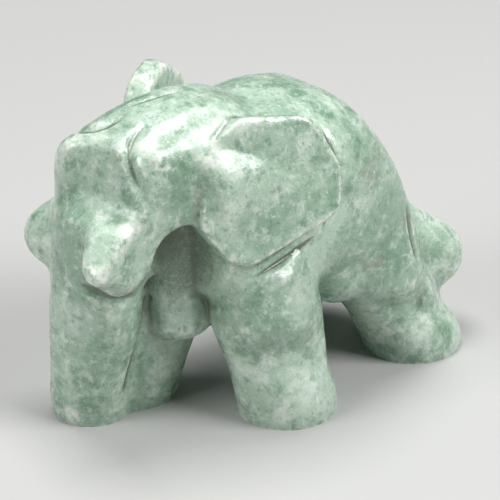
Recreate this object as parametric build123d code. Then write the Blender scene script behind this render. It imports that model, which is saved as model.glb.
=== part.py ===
from build123d import *
import os
from math import cos, radians, sin

# A miniature elephant carved from one pebble of jade.  It walks towards -Y with its head turned
# to its right, its left side is +X and its feet stand on z = 0.  The stone is one piece: each
# node below is one of the masses that the carver roughs out of it, and neighbouring masses meet
# face to face.  Lengths are in millimetres and angles in degrees.

# Torso
body_width = 20.0
back_height = 33.0
belly_height = 11.0
chest_to_rump = 30.4
chest_ahead = 9.0           # from the left front foot's centre forward to the front of the torso
chest_width = 13.0
chest_cut_low = 6.0         # the chest rises this far above the belly
chest_cut_high = 0.8        # the withers fall this far below the back
shoulder_narrowing = 3.5
croup_drop = 1.5            # from the back down to the top of the hips
haunch_narrowing = 2.0
haunch_drop = 3.0           # from the belly down to the underside of the haunches
rump_width = 12.0
haunch_top_height = 21.8
rump_top_height = 15.2
rump_low_height = 8.0
torso_rounding = 0.42       # corner radius as a share of a section's shorter side

# Head
head_turn = 16.0            # towards the right side
head_width = 13.0
head_length = 17.5
head_height = 16.5
crown_rise = 0.8            # from the back up to the crown
crown_swell = 0.3           # half way along, the crown stands this much higher still
brow_drop = 2.0             # from the crown down to the top of the face
face_width = 9.6
neck_trim = 1.0             # the neck is this much narrower than the head
cheek_trim = 0.6            # the cheeks are this much narrower than the head
jaw_rise = 1.0              # the underside of the head rises this far at the face
neck_right = 0.65           # from the middle of the torso to the middle of the neck
neck_depth = 8.0            # how far the head reaches back into the torso
head_rounding = 0.36

# Trunk, hanging straight down to the ground
trunk_width = 10.0
trunk_depth = 8.2
trunk_end_size = 7.4
trunk_swing = 2.9           # towards the right side, from the face to the trunk's end
trunk_root_drop = 7.0       # from the top of the face down to where the trunk leaves it
trunk_set_back = 2.7        # from the face back to the trunk's middle

# Tusk stubs
tusk_length = 7.6
tusk_root_diameter = 8.6
tusk_tip_diameter = 6.4
tusk_dip = 28.0             # below the horizontal
tusk_splay = 40.0           # away from the head's forward direction
tusk_root_rise = 5.7        # from the underside of the head up to the middle of a tusk's root
tusk_set_back = 5.5         # from the face back to the tusk's root
tusk_inset = 2.0            # from the side of the face in to the middle of the root
left_tusk_lift = 2.6        # the left tusk's root sits this much higher
right_tusk_lift = -0.4
right_tusk_trim = 0.9       # the right tusk is this much shorter

# Breast, a rounded column behind the trunk
breast_width = 5.6
breast_depth = 7.0
breast_drop = 2.0           # from the belly down to the breast's lower end
breast_right = 1.0
breast_set_back = 2.0       # from the front of the torso to the middle of the column
breast_top_gap = 0.6        # the column ends inside the neck, this far below the hollow's arch
breast_swell = 1.0          # it is this much thicker at its top

# Hollow, drilled in from the left side between the trunk and the breast
hollow_height = 23.6        # from the ground up to the top of its arch
hollow_length = 6.0
hollow_floor = 0.4          # from the middle of the torso to the left, where the hollow ends
hollow_ahead = 2.2          # from the front of the torso forward to the middle of the arch

# Ears, flat fans along the neck and the shoulder
ear_length = 15.5
ear_height = 15.8
ear_thickness = 2.4
ear_corner = 2.2
ear_flare = 21.0            # the rear edge stands out
ear_lean = 19.0             # the top edge leans in
ear_ahead = 3.9             # from the left front foot's centre forward to the middle of a fan
ear_top_inset = 3.37        # from the torso's side in to the outer face at the fan's top edge
ear_top_rise = 0.8          # from the back up to the top of the left fan
right_ear_lean = 6.0
right_ear_lift = 0.5
right_ear_out = 4.14        # its top edge stands this much further out
right_ear_corner = 3.0
right_ear_tilt = 28.0       # its rear corner hangs lower

# Legs
leg_inset = 2.8             # from the torso's side in to the middle of a foot
front_foot_width = 10.4
front_foot_length = 10.6
hind_foot_width = 11.0
hind_foot_length = 11.0
right_foot_trim = 1.0       # the right feet are this much smaller both ways
sole_edge = 0.8             # worn edge round each sole
sole_edge_height = 1.2
ankle_height = 5.1
ankle_share = 0.4           # of the leg's lean, reached at the ankle
leg_width = 9.6
leg_length = 10.2
leg_swell = 1.6             # the leg widens by this much where it meets the belly
leg_embed = 7.0             # from the belly up to where a leg ends inside the torso
leg_end_trim = 1.0          # the leg is this much thinner there
shoulder_inset = 1.2        # a leg leans in by this much on its way up
hip_inset = 2.0
left_shoulder_ahead = 2.0   # from the left front foot's centre forward to the top of its leg
right_shoulder_ahead = 6.2
stride = 8.5                # the right front foot is this far ahead of the left one
hip_from_rump = 6.7
left_hind_from_rump = 1.4
right_hind_from_rump = 7.9

# Tail, a thick stub swept against the left hind leg
tail_diameter = 7.0
tail_length = 6.3           # from its root to the middle of its rounded end
tail_left = 3.0
tail_embed = 1.2
tail_root_drop = 2.8        # from the top of the rump down to the middle of the root
tail_direction = Vector(0.45, 0.62, -0.55)


def oval_column(stations):
    """Upright mass through level ovals, each given as (x, y, z, width, length)."""
    ovals = [Pos(x, y, z) * Ellipse(width / 2, length / 2) for x, y, z, width, length in stations]
    return loft(ovals, ruled=True)


def level_direction(turn):
    """Forward and left directions of a mass turned from -Y towards the right side."""
    angle = radians(turn)
    return Vector(-sin(angle), -cos(angle), 0), Vector(cos(angle), -sin(angle), 0)


def blocky_mass(start, turn, rounding, stations):
    """Level mass through rounded rectangles, each given as (distance, low, high, width)."""
    forward, left = level_direction(turn)
    sections = []
    for distance, low, high, width in stations:
        centre = start + forward * distance + Vector(0, 0, (low + high) / 2)
        outline = RectangleRounded(width, high - low, rounding * min(width, high - low))
        sections.append(Plane(origin=centre, x_dir=left, z_dir=forward) * outline)
    return loft(sections)


def stub(start, direction, length, root_diameter, tip_diameter):
    """Tapered peg with a ball-shaped end."""
    along = direction.normalized()
    end = start + along * length
    root_circle = Plane(origin=start, z_dir=along) * Circle(root_diameter / 2)
    end_circle = Plane(origin=end, z_dir=along) * Circle(tip_diameter / 2)
    return loft([root_circle, end_circle]) + Pos(*end) * Sphere(tip_diameter / 2)


chest_y = -chest_ahead
rump_y = chest_y + chest_to_rump
crown_height = back_height + crown_rise
head_low = crown_height - head_height
head_forward, head_left = level_direction(head_turn)
neck = Vector(-neck_right, chest_y + neck_depth, 0)
face = neck + head_forward * head_length


def make_torso():
    hip_top = back_height - croup_drop
    stations = [
        (0.00, belly_height + chest_cut_low, back_height - chest_cut_high, chest_width),
        (0.16, belly_height + chest_cut_low / 4, back_height - chest_cut_high / 4,
         body_width - shoulder_narrowing),
        (0.45, belly_height, back_height, body_width),
        (0.64, belly_height - haunch_drop / 2, hip_top, body_width),
        (0.86, belly_height - haunch_drop, haunch_top_height, body_width - haunch_narrowing),
        (1.00, rump_low_height, rump_top_height, rump_width),
    ]
    rows = [(share * chest_to_rump, low, high, width) for share, low, high, width in stations]
    return blocky_mass(Vector(0, chest_y, 0), 180, torso_rounding, rows)


def make_head():
    stations = [
        (0.0, head_low + jaw_rise, crown_height, head_width - neck_trim),
        (0.5 * head_length, head_low, crown_height + crown_swell, head_width),
        (0.8 * head_length, head_low, crown_height - 0.6 * brow_drop, head_width - cheek_trim),
        (head_length, head_low + jaw_rise, crown_height - brow_drop, face_width),
    ]
    return blocky_mass(neck, head_turn, head_rounding, stations)


def make_trunk():
    root_height = crown_height - brow_drop - trunk_root_drop
    root = face - head_forward * trunk_set_back
    end = root - head_left * trunk_swing
    middle = (root + end) * 0.5
    return oval_column([
        (end.X, end.Y, 0, trunk_end_size, trunk_end_size),
        (end.X, end.Y, sole_edge_height, trunk_end_size + sole_edge, trunk_end_size + sole_edge),
        (middle.X, middle.Y, root_height / 2, trunk_width, trunk_depth),
        (root.X, root.Y, root_height, trunk_width, trunk_depth),
    ])


def make_tusk(side, lift, trim):
    out = head_left * side
    level = head_forward * cos(radians(tusk_splay)) + out * sin(radians(tusk_splay))
    direction = level * cos(radians(tusk_dip)) - Vector(0, 0, sin(radians(tusk_dip)))
    root_height = Vector(0, 0, head_low + tusk_root_rise + lift)
    root = face - head_forward * tusk_set_back + out * (face_width / 2 - tusk_inset) + root_height
    return stub(root, direction, tusk_length - trim, tusk_root_diameter, tusk_tip_diameter)


def make_breast():
    x, y = -breast_right, chest_y + breast_set_back
    low = belly_height - breast_drop
    return oval_column([
        (x, y, low, breast_width - 2 * sole_edge, breast_depth - 2 * sole_edge),
        (x, y, low + sole_edge_height, breast_width, breast_depth),
        (x, y, hollow_height - breast_top_gap, breast_width + breast_swell, breast_depth + breast_swell),
    ])


def make_hollow():
    depth = Vector(hollow_floor, chest_y - hollow_ahead, 0)
    arch = SlotCenterToCenter(2 * hollow_height - hollow_length, hollow_length, rotation=90)
    return extrude(Plane(origin=depth, x_dir=(0, 1, 0), z_dir=(1, 0, 0)) * arch, amount=head_width)


def make_ear(side, lean, lift, out, corner, tilt):
    corners = [
        (-0.43 * ear_length, -0.14 * ear_height),
        (-0.20 * ear_length, -0.46 * ear_height),
        (0.44 * ear_length, -0.14 * ear_height),
        (0.49 * ear_length, 0.14 * ear_height),
        (0.32 * ear_length, 0.50 * ear_height),
        (-0.14 * ear_length, 0.55 * ear_height),
        (-0.34 * ear_length, 0.40 * ear_height),
    ]
    outline = Rot(0, 0, -tilt) * fillet(Polygon(*corners, align=None).vertices(), corner)
    if side < 0:
        outline = mirror(outline, Plane.XZ)
    fan = extrude(outline, amount=-ear_thickness)
    flare = radians(ear_flare)
    outward = Vector(side * cos(flare), -sin(flare), sin(radians(lean)))
    rearward = Vector(side * sin(flare), cos(flare), 0)
    height = back_height + ear_top_rise + lift - ear_height / 2
    lean_out = ear_height / 2 * sin(radians(lean))
    middle = Vector(side * (body_width / 2 - ear_top_inset + lean_out + out), -ear_ahead, height)
    return Plane(origin=middle, x_dir=rearward, z_dir=outward) * fan


def make_leg(foot_x, foot_y, foot_width, foot_length, top_x, top_y):
    ankle_x = foot_x + (top_x - foot_x) * ankle_share
    ankle_y = foot_y + (top_y - foot_y) * ankle_share
    return oval_column([
        (foot_x, foot_y, 0, foot_width - sole_edge, foot_length - sole_edge),
        (foot_x, foot_y, sole_edge_height, foot_width, foot_length),
        (ankle_x, ankle_y, ankle_height, leg_width, leg_length),
        (top_x, top_y, belly_height, leg_width + leg_swell, leg_length + leg_swell),
        (top_x, top_y, belly_height + leg_embed, leg_width - leg_end_trim, leg_length - leg_end_trim),
    ])


def make_legs():
    foot_x = body_width / 2 - leg_inset
    shoulder_x = foot_x - shoulder_inset
    hip_x = foot_x - hip_inset
    hip_y = rump_y - hip_from_rump
    front = front_foot_width, front_foot_length
    hind = hind_foot_width, hind_foot_length
    right_front = front_foot_width - right_foot_trim, front_foot_length - right_foot_trim
    right_hind = hind_foot_width - right_foot_trim, hind_foot_length - right_foot_trim
    left_hind_y = rump_y - left_hind_from_rump
    right_hind_y = rump_y - right_hind_from_rump
    return {
        "left_front_leg": make_leg(foot_x, 0, *front, shoulder_x, -left_shoulder_ahead),
        "right_front_leg": make_leg(-foot_x, -stride, *right_front, -shoulder_x, -right_shoulder_ahead),
        "left_hind_leg": make_leg(foot_x, left_hind_y, *hind, hip_x, hip_y),
        "right_hind_leg": make_leg(-foot_x, right_hind_y, *right_hind, -hip_x, hip_y),
    }


def make_tail():
    root = Vector(tail_left, rump_y - tail_embed, rump_top_height - tail_root_drop)
    return stub(root, tail_direction, tail_length, tail_diameter, tail_diameter)


masses = {
    "torso": make_torso(),
    "head": make_head(),
    "breast": make_breast(),
    "trunk": make_trunk(),
    "left_tusk": make_tusk(1, left_tusk_lift, 0),
    "right_tusk": make_tusk(-1, right_tusk_lift, right_tusk_trim),
    "left_ear": make_ear(1, ear_lean, 0, 0, ear_corner, 0),
    "right_ear": make_ear(-1, right_ear_lean, right_ear_lift, right_ear_out, right_ear_corner,
                          right_ear_tilt),
    **make_legs(),
    "tail": make_tail(),
}

# A mass keeps the stone that the masses before it leave free, so that neighbours share a face.
# Any crumb that is cut off on the far side of a neighbour goes.
hollow = make_hollow()
nodes = {}
for name, mass in masses.items():
    if name in ("torso", "head", "left_tusk", "trunk"):
        mass = mass - hollow
    for neighbour in nodes.values():
        mass = mass - neighbour
    nodes[name] = max(mass.solids(), key=lambda piece: piece.volume)

# The origin is on the ground, under the middle of the whole figure.
whole = Compound(list(nodes.values())).bounding_box()
to_origin = Pos(-whole.center().X, -whole.center().Y, -whole.min.Z)
os.makedirs("parts", exist_ok=True)
for name, solid in nodes.items():
    export_step(to_origin * solid, f"parts/{name}.step")

for name in ("left_front_leg", "right_front_leg", "left_hind_leg", "right_hind_leg", "trunk"):
    sole = (to_origin * nodes[name]).faces().sort_by(Axis.Z)[0]
    print(f"{name} sole centre {sole.center().X:.2f} {sole.center().Y:.2f} {sole.center().Z:.2f}")
print(f"size {whole.size.X:.2f} {whole.size.Y:.2f} {whole.size.Z:.2f}")
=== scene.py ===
import math

import bpy
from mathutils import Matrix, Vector
from mathutils.kdtree import KDTree


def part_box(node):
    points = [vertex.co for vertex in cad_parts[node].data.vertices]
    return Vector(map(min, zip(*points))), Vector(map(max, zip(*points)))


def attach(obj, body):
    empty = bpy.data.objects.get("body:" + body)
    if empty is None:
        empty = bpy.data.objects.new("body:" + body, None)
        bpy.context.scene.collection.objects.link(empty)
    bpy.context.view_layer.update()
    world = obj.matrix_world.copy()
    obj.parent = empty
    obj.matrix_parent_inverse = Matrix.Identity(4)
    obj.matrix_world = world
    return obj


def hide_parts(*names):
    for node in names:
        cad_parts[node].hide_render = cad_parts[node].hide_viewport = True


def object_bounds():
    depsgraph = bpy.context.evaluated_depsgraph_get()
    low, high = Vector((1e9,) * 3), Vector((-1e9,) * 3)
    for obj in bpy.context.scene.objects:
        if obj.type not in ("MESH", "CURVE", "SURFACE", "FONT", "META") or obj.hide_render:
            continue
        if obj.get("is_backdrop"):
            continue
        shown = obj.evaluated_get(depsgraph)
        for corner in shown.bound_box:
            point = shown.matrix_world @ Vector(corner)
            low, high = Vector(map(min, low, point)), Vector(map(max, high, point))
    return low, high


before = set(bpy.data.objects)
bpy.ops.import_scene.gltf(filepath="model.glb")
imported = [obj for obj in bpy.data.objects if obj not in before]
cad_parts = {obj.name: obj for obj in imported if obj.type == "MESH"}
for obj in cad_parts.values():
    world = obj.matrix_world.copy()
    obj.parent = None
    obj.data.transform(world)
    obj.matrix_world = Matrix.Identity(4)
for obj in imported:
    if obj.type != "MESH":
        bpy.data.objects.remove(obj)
cad_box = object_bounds()

# ---------------------------------------------------------------------------------------------
# Torso.  The figure is one pebble of jade.  The carver first saws and grinds it into plain
# masses, of which the barrel of the torso is the largest, and all of them are still one stone.
# Each mass is roughed out here on its own and is joined to the others further down.
MM = 0.001
OVERLAP = 0.25 * MM
WELD = 0.001 * MM


def pick(*objects):
    bpy.ops.object.select_all(action="DESELECT")
    for item in objects:
        item.select_set(True)
    bpy.context.view_layer.objects.active = objects[0]


def apply_modifier(piece, kind, **settings):
    modifier = piece.modifiers.new(kind, kind)
    for name, value in settings.items():
        setattr(modifier, name, value)
    pick(piece)
    bpy.ops.object.modifier_apply(modifier=modifier.name)


def rough_out(node):
    """Welded copy of a roughed-out mass, a little fuller so that it runs into its neighbours."""
    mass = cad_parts[node].copy()
    mass.data = mass.data.copy()
    mass.name = "rough_" + node
    bpy.context.collection.objects.link(mass)
    mass.data.materials.clear()
    pick(mass)
    bpy.ops.object.mode_set(mode="EDIT")
    bpy.ops.mesh.select_all(action="SELECT")
    bpy.ops.mesh.remove_doubles(threshold=WELD)
    bpy.ops.object.mode_set(mode="OBJECT")
    apply_modifier(mass, "DISPLACE", strength=OVERLAP, mid_level=0.0)
    return mass


def spot(node, across, along, up):
    """Point at shares of a node's box: 0 right, 1 left; 0 front, 1 back; 0 low, 1 high."""
    low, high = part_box(node)
    return Vector(low[i] + (high[i] - low[i]) * share for i, share in enumerate((across, along, up)))


torso = rough_out("torso")

# ---------------------------------------------------------------------------------------------
# Head and eyes.  The head is a block with a flat face, turned to the right.  Each eye is a low
# boss that the carver leaves standing behind one crescent-shaped wheel cut.
EYE_RADIUS = 1.7 * MM
EYE_SQUASH = (0.9, 1.0, 1.0)
BALL_RINGS = 16


def flatten(mass, point, normal):
    """Grinds the mass flat beyond a plane, on the side that the normal points to."""
    pick(mass)
    bpy.ops.object.mode_set(mode="EDIT")
    bpy.ops.mesh.select_all(action="SELECT")
    bpy.ops.mesh.bisect(plane_co=point, plane_no=normal, use_fill=True, clear_outer=True, threshold=WELD)
    bpy.ops.object.mode_set(mode="OBJECT")


def boss(place, radius, squash):
    """Ball pressed flat along each axis by the shares in squash."""
    bpy.ops.mesh.primitive_uv_sphere_add(segments=2 * BALL_RINGS, ring_count=BALL_RINGS, radius=radius,
                                         location=place)
    ball = bpy.context.object
    ball.scale = squash
    bpy.ops.object.transform_apply(location=True, rotation=True, scale=True)
    return ball


head = rough_out("head")
left_eye = boss(spot("head", 0.77, 0.31, 0.79), EYE_RADIUS, EYE_SQUASH)
right_eye = boss(spot("head", 0.20, 0.46, 0.74), EYE_RADIUS, EYE_SQUASH)

# ---------------------------------------------------------------------------------------------
# Trunk and tusks.  The trunk hangs straight to the ground, where it is cut off flat with the
# soles.  The tusks are blunt stubs, and the left one's outer side is ground to a ridge.
SOLE_STOCK = 1.5 * MM
SOLE_SKIN = 0.05 * MM
TUSK_OUTER_FLAT = Vector((0.965, 0.156, -0.211))
TUSK_UPPER_FLAT = Vector((0.19, -0.635, 0.75))
TUSK_LOWER_FLAT = Vector((0.0, -0.25, -0.97))
TUSK_ROOT_RADIUS = 2.6 * MM
TUSK_ROOT_SQUASH = (0.9, 1.1, 1.0)


def lengthen_foot(mass):
    """Leaves spare stone under a sole, which is ground off when the figure stands level."""
    pick(mass)
    bpy.ops.object.mode_set(mode="EDIT")
    bpy.ops.mesh.select_all(action="DESELECT")
    bpy.ops.object.mode_set(mode="OBJECT")
    for vertex in mass.data.vertices:
        vertex.select = vertex.co.z < SOLE_SKIN
    bpy.ops.object.mode_set(mode="EDIT")
    bpy.ops.transform.translate(value=(0, 0, -SOLE_STOCK))
    bpy.ops.object.mode_set(mode="OBJECT")


trunk = rough_out("trunk")
lengthen_foot(trunk)
left_tusk = rough_out("left_tusk")
right_tusk = rough_out("right_tusk")
ridge = spot("left_tusk", 0.72, 0.44, 0.70)
flatten(left_tusk, ridge, TUSK_OUTER_FLAT)
flatten(left_tusk, ridge, TUSK_UPPER_FLAT)
flatten(left_tusk, spot("left_tusk", 0.5, 0.1, 0.12), TUSK_LOWER_FLAT)
tusk_root = boss(spot("left_tusk", 0.36, 0.52, 0.10), TUSK_ROOT_RADIUS, TUSK_ROOT_SQUASH)

# ---------------------------------------------------------------------------------------------
# Legs.  Four thick columns with flared feet.  The right forefoot is a stride ahead of the left
# one, and all the soles are ground flat in one plane.
legs = [rough_out(side + end + "leg") for end in ("front_", "hind_") for side in ("left_", "right_")]
for leg in legs:
    lengthen_foot(leg)

# ---------------------------------------------------------------------------------------------
# Tail.  A thick round stub at the rump, left in one with the left hind leg.
tail = rough_out("tail")

# ---------------------------------------------------------------------------------------------
# Belly.  A low round of stone is left under the barrel between the left legs, where the flank
# runs down to the hind leg.
BELLY_RADIUS = 3.4 * MM

belly = boss(spot("torso", 0.79, 0.585, 0.16), BELLY_RADIUS, (1.0, 1.0, 1.0))

# ---------------------------------------------------------------------------------------------
# Blending.  The masses are one stone, so they are run together and their hard corners are
# rubbed down until the surface flows from one mass into the next.
BLEND_GRID = 0.5 * MM
BLEND_STROKES = 16
JOIN_STROKES = 2


def rub_down(piece, grid, strokes):
    """Evens out a piece's skin and rubs its edges round."""
    apply_modifier(piece, "REMESH", mode="VOXEL", voxel_size=grid)
    apply_modifier(piece, "SMOOTH", factor=0.5, iterations=strokes)


def run_together(pieces, grid, strokes):
    """Joins closed pieces into one skin and rubs it down."""
    pick(*pieces)
    bpy.ops.object.join()
    whole = bpy.context.object
    rub_down(whole, grid, strokes)
    return whole


stone = run_together([torso, head, trunk, left_tusk, tusk_root, right_tusk, *legs, tail, belly],
                     BLEND_GRID, JOIN_STROKES)

# The face is ground to one broad flat from the brow down to the roots of the tusks.
BLOCK_SIZE = 16 * MM
BLOCK_ROUNDING = 3 * MM
FACE_TURN = 7
FACE_LEAN = 10


def carve(tool):
    """Takes a tool's shape out of the stone."""
    apply_modifier(stone, "BOOLEAN", object=tool, operation="DIFFERENCE", solver="EXACT")
    bpy.data.objects.remove(tool, do_unlink=True)


def grinding_block(corner, turn, lean):
    """Block with its lower rear edge at a corner, its face turned and leaned by degrees."""
    bpy.ops.mesh.primitive_cube_add(size=BLOCK_SIZE, location=(0, -BLOCK_SIZE / 2, BLOCK_SIZE / 2))
    block = bpy.context.object
    bpy.ops.object.transform_apply(location=True, rotation=True, scale=True)
    apply_modifier(block, "BEVEL", width=BLOCK_ROUNDING, segments=6)
    block.rotation_euler = (math.radians(-lean), 0, math.radians(turn))
    block.location = corner
    bpy.ops.object.transform_apply(location=True, rotation=True, scale=True)
    return block


carve(grinding_block(spot("head", 0.70, 0.12, 0.42), FACE_TURN, FACE_LEAN))
rub_down(stone, BLEND_GRID, BLEND_STROKES)

# ---------------------------------------------------------------------------------------------
# Drilled hollow.  Behind the trunk a short slot is opened from the left side with a tube drill.
# It frees the breast, a rounded column that stays standing inside.
SLOT_RADIUS = 3.0 * MM
SLOT_DEPTH = 9.5 * MM
SLOT_DROP = 8.0 * MM
SLOT_FORWARD = 0.2 * MM
SLOT_RISE = 0.6 * MM
SLOT_ROUNDING = 1.0 * MM
BREAST_SET_IN = 0.2 * MM
BREAST_LEAN = 1.2 * MM

slot_top = spot("breast", 0.54, 0.02, 1.0) + Vector((0, -SLOT_FORWARD, SLOT_RISE - SLOT_RADIUS))
bpy.ops.mesh.primitive_cylinder_add(vertices=48, radius=SLOT_RADIUS, depth=SLOT_DEPTH,
                                    location=slot_top + Vector((SLOT_DEPTH / 2, 0, 0)),
                                    rotation=(0, math.radians(90), 0))
drill = bpy.context.object
bpy.ops.object.transform_apply(location=True, rotation=True, scale=True)
for vertex in drill.data.vertices:
    if vertex.co.z < slot_top.z:
        vertex.co.z -= SLOT_DROP
apply_modifier(drill, "BEVEL", width=SLOT_ROUNDING, segments=4, limit_method="ANGLE")
carve(drill)
breast = rough_out("breast")
breast_low, breast_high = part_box("breast")
for vertex in breast.data.vertices:
    height = (vertex.co.z - breast_low.z) / (breast_high.z - breast_low.z)
    vertex.co.x -= BREAST_SET_IN + BREAST_LEAN * height

# ---------------------------------------------------------------------------------------------
# Ears.  Flat fans left proud of the neck and the shoulder, with their edges rubbed round.  The
# left one's front edge sinks into the cheek, and the right one stands up behind the head.
FINE_GRID = 0.27 * MM
FINE_STROKES = 7
EAR_FRONT_SINK = 1.9 * MM
EAR_CORNER_SINK = 1.6 * MM
RIGHT_EAR_GRID = 0.35 * MM
RIGHT_EAR_STROKES = 16

left_ear = rough_out("left_ear")
ear_low, ear_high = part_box("left_ear")
for vertex in left_ear.data.vertices:
    forward = (ear_high.y - vertex.co.y) / (ear_high.y - ear_low.y)
    down = (ear_high.z - vertex.co.z) / (ear_high.z - ear_low.z)
    vertex.co.x -= EAR_FRONT_SINK * forward ** 2 + EAR_CORNER_SINK * forward * down ** 3
right_ear = rough_out("right_ear")
rub_down(right_ear, RIGHT_EAR_GRID, RIGHT_EAR_STROKES)
stone = run_together([stone, breast, left_ear, right_ear, left_eye, right_eye], FINE_GRID, FINE_STROKES)

# ---------------------------------------------------------------------------------------------
# Wheel cuts.  Every line on the figure is a shallow groove that a small grinding wheel leaves:
# the crescents before the eyes, the channels round the left ear, the creases at the tusk and tail.
# A wheel held at a slant leaves one steep wall and one long one.
SLANT_SHIFT = 0.6

skin = KDTree(len(stone.data.vertices))
for vertex in stone.data.vertices:
    skin.insert(vertex.co, vertex.index)
skin.balance()


def wheel_cut(places, width, depth, slant=0):
    """Groove along five places; slant 1 or -1 puts the steep wall on the line's left or right."""
    bpy.ops.curve.primitive_nurbs_path_add(radius=MM)
    line = bpy.context.object
    for control, place in zip(line.data.splines[0].points, places):
        control.co = (*place, 1)
    pick(line)
    bpy.ops.object.convert(target="MESH")
    apply_modifier(line, "SHRINKWRAP", target=stone, wrap_method="NEAREST_SURFACEPOINT")
    steps = [vertex.co.copy() for vertex in line.data.vertices]
    bpy.data.objects.remove(line, do_unlink=True)
    reached = {}
    for index, step in enumerate(steps):
        for _, vertex, gap in skin.find_range(step, width / 2):
            if vertex not in reached or gap < reached[vertex][0]:
                reached[vertex] = (gap, index)
    last = len(steps) - 1
    moves = {}
    for number, (gap, index) in reached.items():
        vertex = stone.data.vertices[number]
        ahead = (steps[min(index + 1, last)] - steps[max(index - 1, 0)]).normalized()
        left = vertex.normal.cross(ahead).dot(vertex.co - steps[index]) / (width / 2)
        bottom = SLANT_SHIFT * slant
        off = (left - bottom) / (1 - bottom) if left > bottom else (bottom - left) / (1 + bottom)
        off = min(off, 1.0)
        if not slant:
            off = max(off, gap / (width / 2))
        run_out = (1 - (2 * index / last - 1) ** 4) ** 2
        moves[number] = -vertex.normal * depth * run_out * (1 - off) ** 2 * (1 + 2 * off)
    for number, move in moves.items():
        stone.data.vertices[number].co += move
    stone.data.update()


def along(node, *shares):
    """Places at shares of a node's box."""
    return [spot(node, *share) for share in shares]


# The ledges over the left feet, cut wide and smoothed again.
wheel_cut(along("left_front_leg", (0.40, 0.06, 0.52), (0.75, 0.12, 0.50), (0.93, 0.32, 0.49),
                (0.98, 0.60, 0.46), (0.86, 0.86, 0.42)), width=8.5 * MM, depth=1.1 * MM)
wheel_cut(along("left_hind_leg", (0.60, 0.10, 0.36), (0.86, 0.24, 0.38), (0.96, 0.46, 0.40),
                (0.95, 0.56, 0.41), (0.93, 0.64, 0.41)), width=6.0 * MM, depth=1.1 * MM)
apply_modifier(stone, "SMOOTH", factor=0.5, iterations=FINE_STROKES)

# The crescents before the eyes.
wheel_cut(along("head", (0.66, 0.40, 0.97), (0.61, 0.28, 0.92), (0.68, 0.20, 0.85), (0.76, 0.18, 0.76),
                (0.88, 0.20, 0.62)), width=2.0 * MM, depth=0.45 * MM, slant=-1)
wheel_cut(along("head", (0.36, 0.40, 0.97), (0.36, 0.28, 0.92), (0.28, 0.22, 0.85), (0.18, 0.24, 0.76),
                (0.06, 0.34, 0.62)), width=2.0 * MM, depth=0.45 * MM, slant=1)

# The channels over, behind and under the left ear.
wheel_cut(along("left_ear", (-0.06, 0.36, 1.00), (0.00, 0.51, 1.00), (0.16, 0.66, 0.98),
                (0.30, 0.83, 0.93), (0.42, 1.03, 0.82)), width=0.9 * MM, depth=0.22 * MM)
wheel_cut(along("left_ear", (0.40, 1.03, 0.83), (0.64, 1.07, 0.66), (0.86, 1.04, 0.46),
                (0.84, 0.96, 0.24), (0.74, 0.83, 0.09)), width=1.2 * MM, depth=0.45 * MM)
wheel_cut(along("left_ear", (0.76, 0.86, 0.13), (0.70, 0.70, 0.06), (0.66, 0.56, 0.03),
                (0.60, 0.40, -0.03), (0.50, 0.22, -0.08)), width=1.0 * MM, depth=0.40 * MM)

# The creases between the head and the right ear, under the left tusk and beside the tail.
wheel_cut(along("head", (0.30, 0.44, 0.98), (0.36, 0.48, 0.99), (0.42, 0.56, 1.00), (0.48, 0.66, 1.00),
                (0.56, 0.78, 1.00)), width=0.9 * MM, depth=0.25 * MM)
wheel_cut(along("trunk", (0.60, 0.08, 0.72), (0.78, 0.08, 0.70), (0.92, 0.16, 0.68), (1.00, 0.40, 0.65),
                (0.96, 0.66, 0.63)), width=2.0 * MM, depth=0.5 * MM)
wheel_cut(along("left_hind_leg", (0.70, 0.46, 1.06), (0.75, 0.45, 0.95), (0.78, 0.46, 0.84),
                (0.80, 0.47, 0.74), (0.82, 0.50, 0.66)), width=1.2 * MM, depth=0.45 * MM)

# The crease down the trunk, where the right foreleg stands behind it.
wheel_cut(along("trunk", (0.86, 0.95, 0.60), (0.88, 0.78, 0.46), (0.86, 0.72, 0.34), (0.82, 0.62, 0.20),
                (0.76, 0.55, 0.04)), width=2.2 * MM, depth=0.6 * MM)

# ---------------------------------------------------------------------------------------------
# Polish.  The last grinding leaves the surface slightly uneven, and the figure stands level.
POLISH_STROKES = 2
UNEVEN_STEP = 6 * MM
UNEVEN_DEPTH = 0.25 * MM
SHARPEST_SMOOTH = math.radians(50)

hand_work = bpy.data.textures.new("hand_work", "CLOUDS")
hand_work.noise_scale = UNEVEN_STEP
hand_work.noise_depth = 2
apply_modifier(stone, "SMOOTH", factor=0.5, iterations=POLISH_STROKES)
apply_modifier(stone, "DISPLACE", texture=hand_work, texture_coords="LOCAL", strength=UNEVEN_DEPTH)
flatten(stone, Vector((0, 0, 0)), Vector((0, 0, -1)))
stone.name = "carved_jade"
stone.data.name = "carved_jade"
bpy.ops.object.shade_smooth_by_angle(angle=SHARPEST_SMOOTH)

# How far each point lies under or over the rubbed-down surface, in relief steps: what lies under
# gets dirt and painted shade, and what stands over is worn pale and given painted highlight.
RELIEF_STROKES = 30
RELIEF_STEP = 0.2 * MM

model = stone.copy()
model.data = stone.data.copy()
bpy.context.collection.objects.link(model)
apply_modifier(model, "SMOOTH", factor=0.5, iterations=RELIEF_STROKES)
relief = stone.data.attributes.new("relief", "FLOAT", "POINT")
for index, vertex in enumerate(stone.data.vertices):
    rise = (vertex.co - model.data.vertices[index].co).dot(vertex.normal)
    relief.data[index].value = max(-1.0, min(1.0, rise / RELIEF_STEP))
bpy.data.objects.remove(model, do_unlink=True)

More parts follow.
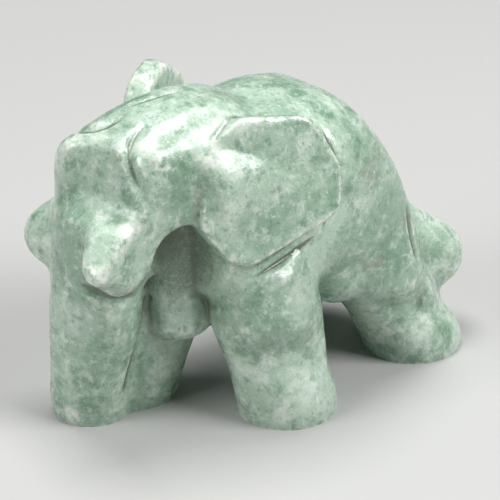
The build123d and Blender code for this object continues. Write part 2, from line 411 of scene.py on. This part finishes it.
# ---------------------------------------------------------------------------------------------
# Jade.  A pale grey-green stone of felted grains, clouded with white and with darker green.  It
# lets a little light in under the surface, and it is polished with a trace of wax.
PALE_GREEN = (0.40, 0.53, 0.42, 1)
CLOUD_WHITE_AND_HIGHLIGHT = (0.68, 0.76, 0.68, 1)
DEEP_GREEN_AND_SHADE = (0.13, 0.25, 0.16, 1)
MID_GREEN = (0.25, 0.38, 0.28, 1)
IRON_BROWN = (0.24, 0.12, 0.045, 1)
ROSE_GREY = (0.42, 0.34, 0.31, 1)
DIRT_AND_SHADE = (0.10, 0.13, 0.08, 1)
WORN_WHITE_AND_HIGHLIGHT = (0.80, 0.82, 0.76, 1)
RAGGED_EDGE = 1.6
REFRACTION = 1.62
LIGHT_REACH = 0.8 * MM
BUMP_HEIGHT = 0.08 * MM

jade = bpy.data.materials.new("jade")
jade.use_nodes = True
tree = jade.node_tree
shader = tree.nodes["Principled BSDF"]


def add(kind, inputs=None, **settings):
    """New node of the jade, with its properties set and its inputs set or linked by name."""
    made = tree.nodes.new("ShaderNode" + kind)
    for name, value in settings.items():
        setattr(made, name, value)
    for name, value in (inputs or {}).items():
        if isinstance(value, bpy.types.NodeSocket):
            tree.links.new(value, made.inputs[name])
        else:
            made.inputs[name].default_value = value
    return made


def noise(step, detail=6.0, rough=0.6, warp=0.0, where=None):
    """Cloudy pattern whose patches are about step millimetres across."""
    return add("TexNoise", inputs={"Vector": where or place, "Scale": 1 / step, "Detail": detail,
                                   "Roughness": rough, "Distortion": warp}).outputs["Fac"]


def between(value, low, high, start=0.0, end=1.0):
    """Mask that rises from start to end as a value goes from low to high."""
    return add("MapRange", interpolation_type="SMOOTHSTEP",
               inputs={"Value": value, "From Min": low, "From Max": high, "To Min": start,
                       "To Max": end}).outputs["Result"]


def times(first, second):
    return add("Math", operation="MULTIPLY", inputs={0: first, 1: second}).outputs[0]


def paint(ground, colour, mask):
    """Lays a colour over the ground wherever the mask is 1."""
    return add("Mix", data_type="RGBA", inputs={0: mask, 6: ground, 7: colour}).outputs[2]


def near(point, reach, soft):
    """Mask that is 1 at a point of the stone and 0 from reach millimetres on, with a ragged edge."""
    gap = add("VectorMath", operation="DISTANCE", inputs={0: ragged, 1: tuple(point / MM)})
    return between(gap.outputs["Value"], reach, reach * (1 - soft))


place = add("Mapping", inputs={"Vector": add("TexCoord").outputs["Object"],
                               "Scale": (1 / MM, 1 / MM, 1 / MM)}).outputs["Vector"]
swirl = add("TexNoise", inputs={"Vector": place, "Scale": 0.5, "Detail": 3.0}).outputs["Color"]
centred = add("VectorMath", operation="SUBTRACT", inputs={0: place, 1: (RAGGED_EDGE / 2,) * 3}).outputs[0]
ragged = add("VectorMath", operation="MULTIPLY_ADD",
             inputs={0: swirl, 1: (RAGGED_EDGE,) * 3, 2: centred}).outputs[0]
rise = add("Attribute", attribute_name="relief").outputs["Fac"]

# Broad clouds, then darker and paler ones within them, then speckle and the finest grain.
body = paint(MID_GREEN, PALE_GREEN, between(noise(8.0, detail=4.0, warp=0.2), 0.36, 0.54))
dark_clouds = between(noise(2.4, detail=9.0, rough=0.64, warp=0.15), 0.51, 0.64)
body = paint(body, DEEP_GREEN_AND_SHADE, times(dark_clouds, 0.75))
pale_clouds = between(noise(3.0, detail=9.0, rough=0.70, warp=0.15), 0.51, 0.66)
body = paint(body, CLOUD_WHITE_AND_HIGHLIGHT, times(pale_clouds, 0.62))
speckle = noise(0.85, detail=6.0, rough=0.72)
body = paint(body, CLOUD_WHITE_AND_HIGHLIGHT, times(between(speckle, 0.54, 0.66), 0.55))
body = paint(body, DEEP_GREEN_AND_SHADE, times(between(speckle, 0.46, 0.35), 0.60))
grain = noise(0.3, detail=4.0, rough=0.75)
body = paint(body, CLOUD_WHITE_AND_HIGHLIGHT, times(between(grain, 0.58, 0.66), 0.40))
body = paint(body, DEEP_GREEN_AND_SHADE, times(between(grain, 0.43, 0.35), 0.35))

# Scratches that the polish has left, in two directions.
for turn, stretch in ((0.5, (0.25, 2.2, 0.25)), (-0.7, (2.6, 0.3, 0.3))):
    slid = add("Mapping", inputs={"Vector": place, "Rotation": (turn, turn, turn), "Scale": stretch})
    scratch = between(noise(1.0, detail=2.0, where=slid.outputs["Vector"]), 0.66, 0.72)
    body = paint(body, WORN_WHITE_AND_HIGHLIGHT, times(scratch, 0.35))

# Darker cores, stains and chips where the real stone has them, with painted shade and painted
# highlights among them, each broken up by the grain: the mass and the place in its box, the reach
# in millimetres, the colour and how strong it is.
broken = between(noise(1.1, detail=5.0, rough=0.7), 0.38, 0.58)
for node, shares, reach, colour, strength in (
        # Broad darker green on the foreleg under the ear, trunk side, cheek, hind leg and haunch: partly
        # the stone's own colour, partly painted shade where these sides turn from the light.
        ("left_front_leg", (0.90, 0.25, 0.72), 8.5, DEEP_GREEN_AND_SHADE, 0.60),
        ("trunk", (0.92, 0.45, 0.42), 7.0, DEEP_GREEN_AND_SHADE, 0.60),
        ("head", (0.96, 0.42, 0.56), 4.2, DEEP_GREEN_AND_SHADE, 0.55),
        ("head", (0.50, 0.15, 0.70), 5.5, DEEP_GREEN_AND_SHADE, 0.25),
        ("left_hind_leg", (0.80, 0.32, 0.86), 6.5, DEEP_GREEN_AND_SHADE, 0.50),
        ("left_ear", (0.95, 0.80, 0.55), 4.5, DEEP_GREEN_AND_SHADE, 0.30),
        ("torso", (0.98, 0.56, 0.24), 7.0, DEEP_GREEN_AND_SHADE, 0.60),
        # Pale spots along the left tusk's ridge: partly wear, partly painted highlight.
        ("left_tusk", (0.62, 0.50, 0.68), 1.5, WORN_WHITE_AND_HIGHLIGHT, 0.6),
        ("left_tusk", (0.66, 0.30, 0.50), 1.4, WORN_WHITE_AND_HIGHLIGHT, 0.6),
        ("left_tusk", (0.66, 0.12, 0.30), 1.3, WORN_WHITE_AND_HIGHLIGHT, 0.7),
        ("trunk", (0.88, 0.72, 0.43), 0.5, IRON_BROWN, 0.9),
        ("trunk", (0.86, 0.70, 0.32), 1.4, IRON_BROWN, 0.35),
        ("trunk", (0.50, 0.08, 0.05), 1.5, WORN_WHITE_AND_HIGHLIGHT, 0.8),
        ("torso", (0.96, 0.67, 0.78), 1.0, IRON_BROWN, 0.35),
        ("torso", (0.97, 0.69, 0.73), 0.9, IRON_BROWN, 0.40),
        ("torso", (1.00, 0.61, 0.68), 2.2, ROSE_GREY, 0.40),
        ("left_hind_leg", (0.74, 0.12, 0.76), 1.6, ROSE_GREY, 0.45),
        ("left_hind_leg", (0.75, 0.45, 0.93), 1.2, IRON_BROWN, 0.35),
        ("left_hind_leg", (0.90, 0.30, 0.45), 1.9, ROSE_GREY, 0.35),
        ("left_ear", (1.00, 0.70, 0.25), 2.4, CLOUD_WHITE_AND_HIGHLIGHT, 0.70),
        # Pale spots on the brows and crescents: partly wear, partly painted highlight. The strongest, on
        # the left eye boss, is a painted highlight.
        ("head", (0.74, 0.27, 0.88), 1.6, WORN_WHITE_AND_HIGHLIGHT, 0.6),
        ("head", (0.87, 0.30, 0.80), 1.1, WORN_WHITE_AND_HIGHLIGHT, 1.0),
        ("head", (0.42, 0.20, 0.93), 1.4, WORN_WHITE_AND_HIGHLIGHT, 0.6),
        ("head", (0.22, 0.26, 0.93), 1.2, WORN_WHITE_AND_HIGHLIGHT, 0.5),
        # Pale patches on the tail's top, the feet, the upper foreleg and the trunk's front: partly white
        # cloud in the stone, partly painted highlight where the light falls.
        ("tail", (0.60, 0.60, 0.85), 3.8, CLOUD_WHITE_AND_HIGHLIGHT, 0.75),
        ("left_front_leg", (0.85, 0.26, 0.12), 1.8, WORN_WHITE_AND_HIGHLIGHT, 0.6),
        ("left_front_leg", (0.96, 0.45, 0.27), 3.6, CLOUD_WHITE_AND_HIGHLIGHT, 0.75),
        ("left_hind_leg", (0.95, 0.45, 0.25), 3.0, CLOUD_WHITE_AND_HIGHLIGHT, 0.7),
        ("left_front_leg", (0.50, 0.12, 0.36), 2.6, CLOUD_WHITE_AND_HIGHLIGHT, 0.6),
        ("right_front_leg", (0.88, 0.30, 0.25), 2.4, CLOUD_WHITE_AND_HIGHLIGHT, 0.6),
        ("left_front_leg", (0.95, 0.45, 0.85), 3.2, CLOUD_WHITE_AND_HIGHLIGHT, 0.45),
        ("trunk", (0.60, 0.10, 0.55), 3.0, CLOUD_WHITE_AND_HIGHLIGHT, 0.45),
        # Pale bands on the left ear's top rim and on the cheek over the tusk: partly wear, partly painted
        # highlight.
        ("left_ear", (0.10, 0.12, 0.80), 2.2, WORN_WHITE_AND_HIGHLIGHT, 0.75),
        ("left_ear", (0.30, 0.40, 0.95), 2.2, WORN_WHITE_AND_HIGHLIGHT, 0.65),
        ("head", (0.66, 0.18, 0.50), 1.8, WORN_WHITE_AND_HIGHLIGHT, 0.5),
        ("head", (0.84, 0.10, 0.46), 1.4, WORN_WHITE_AND_HIGHLIGHT, 0.5)):
    body = paint(body, colour, times(times(near(spot(node, *shares), reach, 0.7), broken), strength))

# Edges are worn pale and given painted highlight, and the cuts get dirt and painted shade.
wear_and_highlight = between(rise, 0.08, 0.60)
body = paint(body, WORN_WHITE_AND_HIGHLIGHT, times(wear_and_highlight, between(speckle, 0.42, 0.58, 0.05, 0.75)))
body = paint(body, DIRT_AND_SHADE, times(between(rise, -0.08, -0.60), 0.90))

# The drilled hollow is left unpolished, with dirt in its grit, and painted shade darkens its top
# next to the trunk, under the overhang.
unpolished = near(spot("breast", 0.55, 0.45, 0.72), 6.6, 0.35)
grit = noise(0.22, detail=4.0, rough=0.8)
body = paint(body, DIRT_AND_SHADE, times(unpolished, between(grit, 0.62, 0.40, 0.10, 0.60)))
painted_hollow_shade = near(spot("breast", 0.35, 0.15, 0.85), 4.2, 0.6)
body = paint(body, DIRT_AND_SHADE, times(painted_hollow_shade, 0.7))

tree.links.new(body, shader.inputs["Base Color"])
satin = between(noise(1.4, detail=5.0), 0.35, 0.7, 0.20, 0.42)
dulled = add("Math", operation="MULTIPLY_ADD", inputs={0: unpolished, 1: 0.25, 2: satin})
tree.links.new(dulled.outputs[0], shader.inputs["Roughness"])
shader.inputs["IOR"].default_value = REFRACTION
shader.inputs["Subsurface Weight"].default_value = 0.25
shader.inputs["Subsurface Radius"].default_value = (0.8, 1.0, 0.75)
shader.inputs["Subsurface Scale"].default_value = LIGHT_REACH
shader.inputs["Coat Weight"].default_value = 0.35
shader.inputs["Coat Roughness"].default_value = 0.10

# Pits and faint waves in the polish, and the rough wall of the hollow.
pits = between(noise(0.5, detail=2.0), 0.60, 0.72)
waves = noise(0.9, detail=5.0)
dents = add("Math", operation="MULTIPLY_ADD", inputs={0: pits, 1: -0.5, 2: waves}).outputs[0]
rough_wall = times(unpolished, grit)
surface = add("Math", operation="MULTIPLY_ADD", inputs={0: rough_wall, 1: 1.2, 2: dents}).outputs[0]
bump = add("Bump", inputs={"Height": surface, "Strength": 0.7, "Distance": BUMP_HEIGHT})
tree.links.new(bump.outputs["Normal"], shader.inputs["Normal"])

stone.data.materials.clear()
stone.data.materials.append(jade)
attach(stone, "root")
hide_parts("torso", "head", "breast", "trunk", "left_tusk", "right_tusk", "left_ear", "right_ear",
            "left_front_leg", "right_front_leg", "left_hind_leg", "right_hind_leg", "tail")

# ---------------------------------------------------------------------------------------------
# Table and light.  The figure stands on a plain pale sheet under three large soft lamps, one
# overhead, one before it and one on its left side, in a dim room.
FLOOR_SIZE = 4.0
FLOOR_GREY = (0.46, 0.46, 0.45, 1)
ROOM_LIGHT = (0.9, 0.95, 1.0, 1)

bpy.ops.mesh.primitive_plane_add(size=FLOOR_SIZE)
floor = bpy.context.object
floor.name = "floor"
paper = bpy.data.materials.new("paper")
paper.use_nodes = True
paper.node_tree.nodes["Principled BSDF"].inputs["Base Color"].default_value = FLOOR_GREY
paper.node_tree.nodes["Principled BSDF"].inputs["Roughness"].default_value = 0.8
floor.data.materials.append(paper)
floor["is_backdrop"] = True


def lamp(name, place, aim, size, power):
    """Square soft lamp that faces the figure."""
    turned = (aim - place).to_track_quat("-Z", "Y").to_euler()
    bpy.ops.object.light_add(type="AREA", location=place, rotation=turned)
    light = bpy.context.object
    light.name = name
    light.data.size = size
    light.data.energy = power


low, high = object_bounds()
middle = (low + high) / 2
lamp("overhead", middle + Vector((-0.08, 0.04, 0.42)), middle, 0.20, 1.6)
lamp("front", middle + Vector((-0.10, -0.42, 0.28)), middle, 0.22, 1.25)
lamp("side", middle + Vector((0.33, 0.12, 0.33)), middle, 0.26, 2.1)
world = bpy.data.worlds.new("studio")
world.use_nodes = True
world.node_tree.nodes["Background"].inputs["Color"].default_value = ROOM_LIGHT
world.node_tree.nodes["Background"].inputs["Strength"].default_value = 0.10
bpy.context.scene.world = world

# ---------------------------------------------------------------------------------------------
# Camera.  A long lens looks down at the figure's left front, a little over its back.
VIEW_ROUND = math.radians(43)
VIEW_DOWN = math.radians(26.7)
VIEW_DISTANCE = 350 * MM
LENS = 236.88
AIM_SHARES = (0.439, 0.545, 0.379)

aim = Vector(cad_box[0][i] + (cad_box[1][i] - cad_box[0][i]) * AIM_SHARES[i] for i in range(3))
level = math.cos(VIEW_DOWN)
back = Vector((math.sin(VIEW_ROUND) * level, -math.cos(VIEW_ROUND) * level, math.sin(VIEW_DOWN)))
bpy.ops.object.camera_add(location=aim + back * VIEW_DISTANCE,
                          rotation=(-back).to_track_quat("-Z", "Y").to_euler())
camera = bpy.context.object
camera.data.lens = LENS
camera.data.clip_start = 10 * MM
bpy.context.scene.camera = camera
bpy.context.scene.view_settings.view_transform = "Standard"
